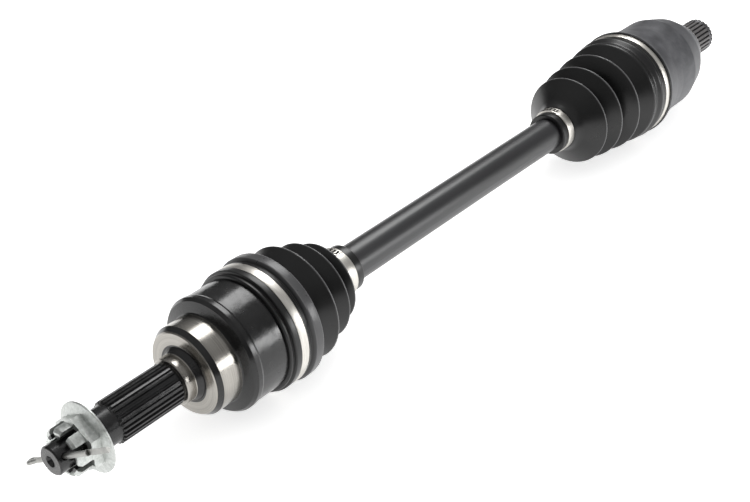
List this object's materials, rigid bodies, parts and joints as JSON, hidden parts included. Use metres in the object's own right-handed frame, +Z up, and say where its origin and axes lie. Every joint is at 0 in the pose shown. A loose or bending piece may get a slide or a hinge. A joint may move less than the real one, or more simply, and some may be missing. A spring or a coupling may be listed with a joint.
{
  "type": "drive axle",
  "caption": "Drive axle with a wide-angle ball joint at the wheel end, a sliding ball joint at the gearbox end, ribbed rubber boots and a splined stub at each end.",
  "frame": {"origin": "centre of the whole axle's box, on the axis of the bar", "axes": "Y runs along the axle, with the wheel end at -Y and the gearbox end at +Y; Z is up as the axle lies, X is square to both"},
  "size_m": [0.0878, 0.72, 0.0878],
  "materials": {
    "bar_steel": "satin dark grey",
    "outer_forging": "black forging with ground bearing seat",
    "inner_forging": "matt grey phosphate",
    "zinc_plate": "bright zinc",
    "pin_steel": "bright drawn wire",
    "boot_rubber": "black moulded rubber",
    "clamp_steel": "stainless strip",
    "ground_steel": "ground and hardened",
    "ball_steel": "polished",
    "spring_steel": "oiled spring steel"
  },
  "bodies": {
    "bar": {"axle_bar": "bar_steel", "outer_joint_race": "ground_steel", "outer_race_circlip": "spring_steel", "outer_race_stop_ring": "spring_steel", "outer_boot_small_clamp": "clamp_steel", "inner_joint_race": "ground_steel", "inner_race_circlip": "spring_steel", "inner_race_stop_ring": "spring_steel", "inner_boot_small_clamp": "clamp_steel"},
    "outer_joint": {"outer_joint_housing": "outer_forging", "axle_nut": "zinc_plate", "cotter_pin": "pin_steel", "outer_boot": "boot_rubber", "outer_boot_large_clamp": "clamp_steel"},
    "outer_cage": {"outer_ball_cage": "ground_steel", "outer_ball_1": "ball_steel", "outer_ball_2": "ball_steel", "outer_ball_3": "ball_steel", "outer_ball_4": "ball_steel", "outer_ball_5": "ball_steel", "outer_ball_6": "ball_steel"},
    "inner_boot": {"inner_boot": "boot_rubber"},
    "inner_cage": {"inner_ball_cage": "ground_steel", "inner_ball_1": "ball_steel", "inner_ball_2": "ball_steel", "inner_ball_3": "ball_steel", "inner_ball_4": "ball_steel", "inner_ball_5": "ball_steel", "inner_ball_6": "ball_steel"},
    "inner_joint": {"inner_joint_housing": "inner_forging", "inner_boot_large_clamp": "clamp_steel", "inner_retaining_ring": "spring_steel", "inner_stub_clip": "spring_steel"}
  },
  "joints": [
    {"name": "outer_joint_bend", "type": "hinge", "parent": "bar", "child": "outer_joint", "pos_m": [0, -0.211, 0], "axis": [1, 0, 0], "range_deg": [-42, 42], "deforming": ["outer_boot"]},
    {"name": "outer_cage_tilt", "type": "hinge", "parent": "bar", "child": "outer_cage", "pos_m": [0, -0.211, 0], "axis": [1, 0, 0], "range_deg": [-21, 21]},
    {"name": "inner_joint_bend", "type": "hinge", "parent": "bar", "child": "inner_boot", "pos_m": [0, 0.251, 0], "axis": [1, 0, 0], "range_deg": [-20, 20], "deforming": ["inner_boot"]},
    {"name": "inner_cage_tilt", "type": "hinge", "parent": "bar", "child": "inner_cage", "pos_m": [0, 0.251, 0], "axis": [1, 0, 0], "range_deg": [-10, 10]},
    {"name": "inner_joint_plunge", "type": "slide", "parent": "inner_boot", "child": "inner_joint", "axis": [0, 1, 0], "range_m": [-0.012, 0.012]}
  ],
  "couplings": [
    {"joint": "outer_cage_tilt", "follows": "outer_joint_bend", "ratio": 0.5},
    {"joint": "inner_cage_tilt", "follows": "inner_joint_bend", "ratio": 0.5}
  ]
}
